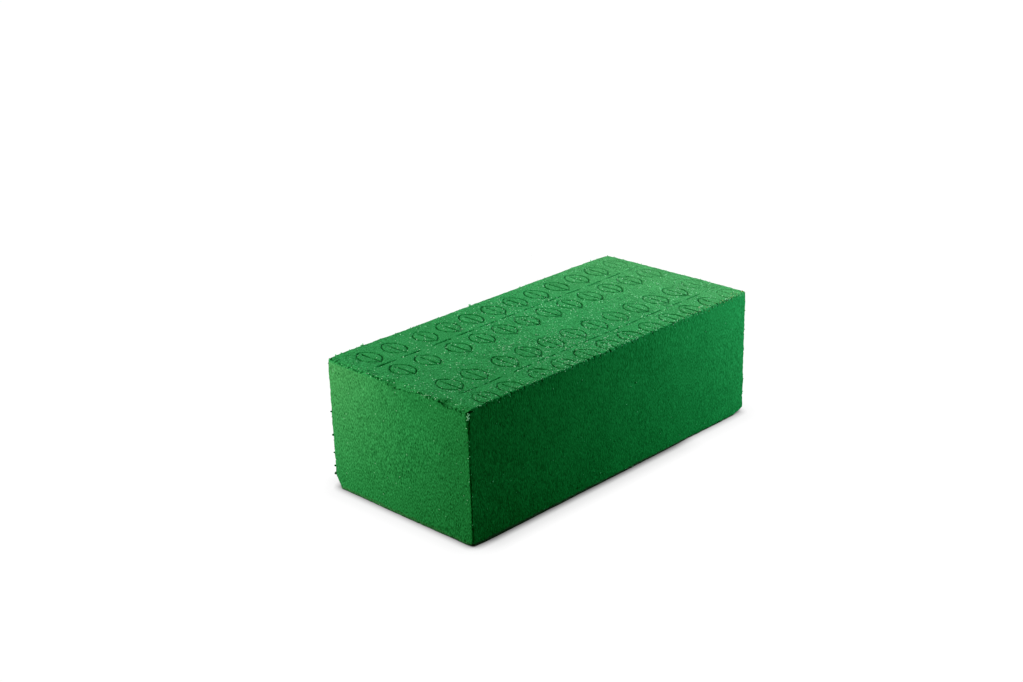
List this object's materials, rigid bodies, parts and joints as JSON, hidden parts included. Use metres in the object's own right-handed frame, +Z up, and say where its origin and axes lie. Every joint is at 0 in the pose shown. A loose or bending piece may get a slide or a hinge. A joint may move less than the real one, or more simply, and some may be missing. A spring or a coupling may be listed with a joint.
{
  "type": "floral foam brick",
  "caption": "Rigid rectangular block of fine-celled green floral foam for cut-flower stems, with rows of shallow leaf marks and bars pressed into its top.",
  "frame": {"origin": "centre of the bottom face, on the surface that the brick lies on", "axes": "+X along the brick's length, +Y across its width, +Z up through its height to the pressed face"},
  "size_m": [0.23, 0.108, 0.077],
  "materials": {
    "foam": "rigid open-celled phenolic foam, dry, sawn, matt and crumbly"
  },
  "bodies": {
    "root": {"foam_block": "foam"}
  },
  "joints": []
}
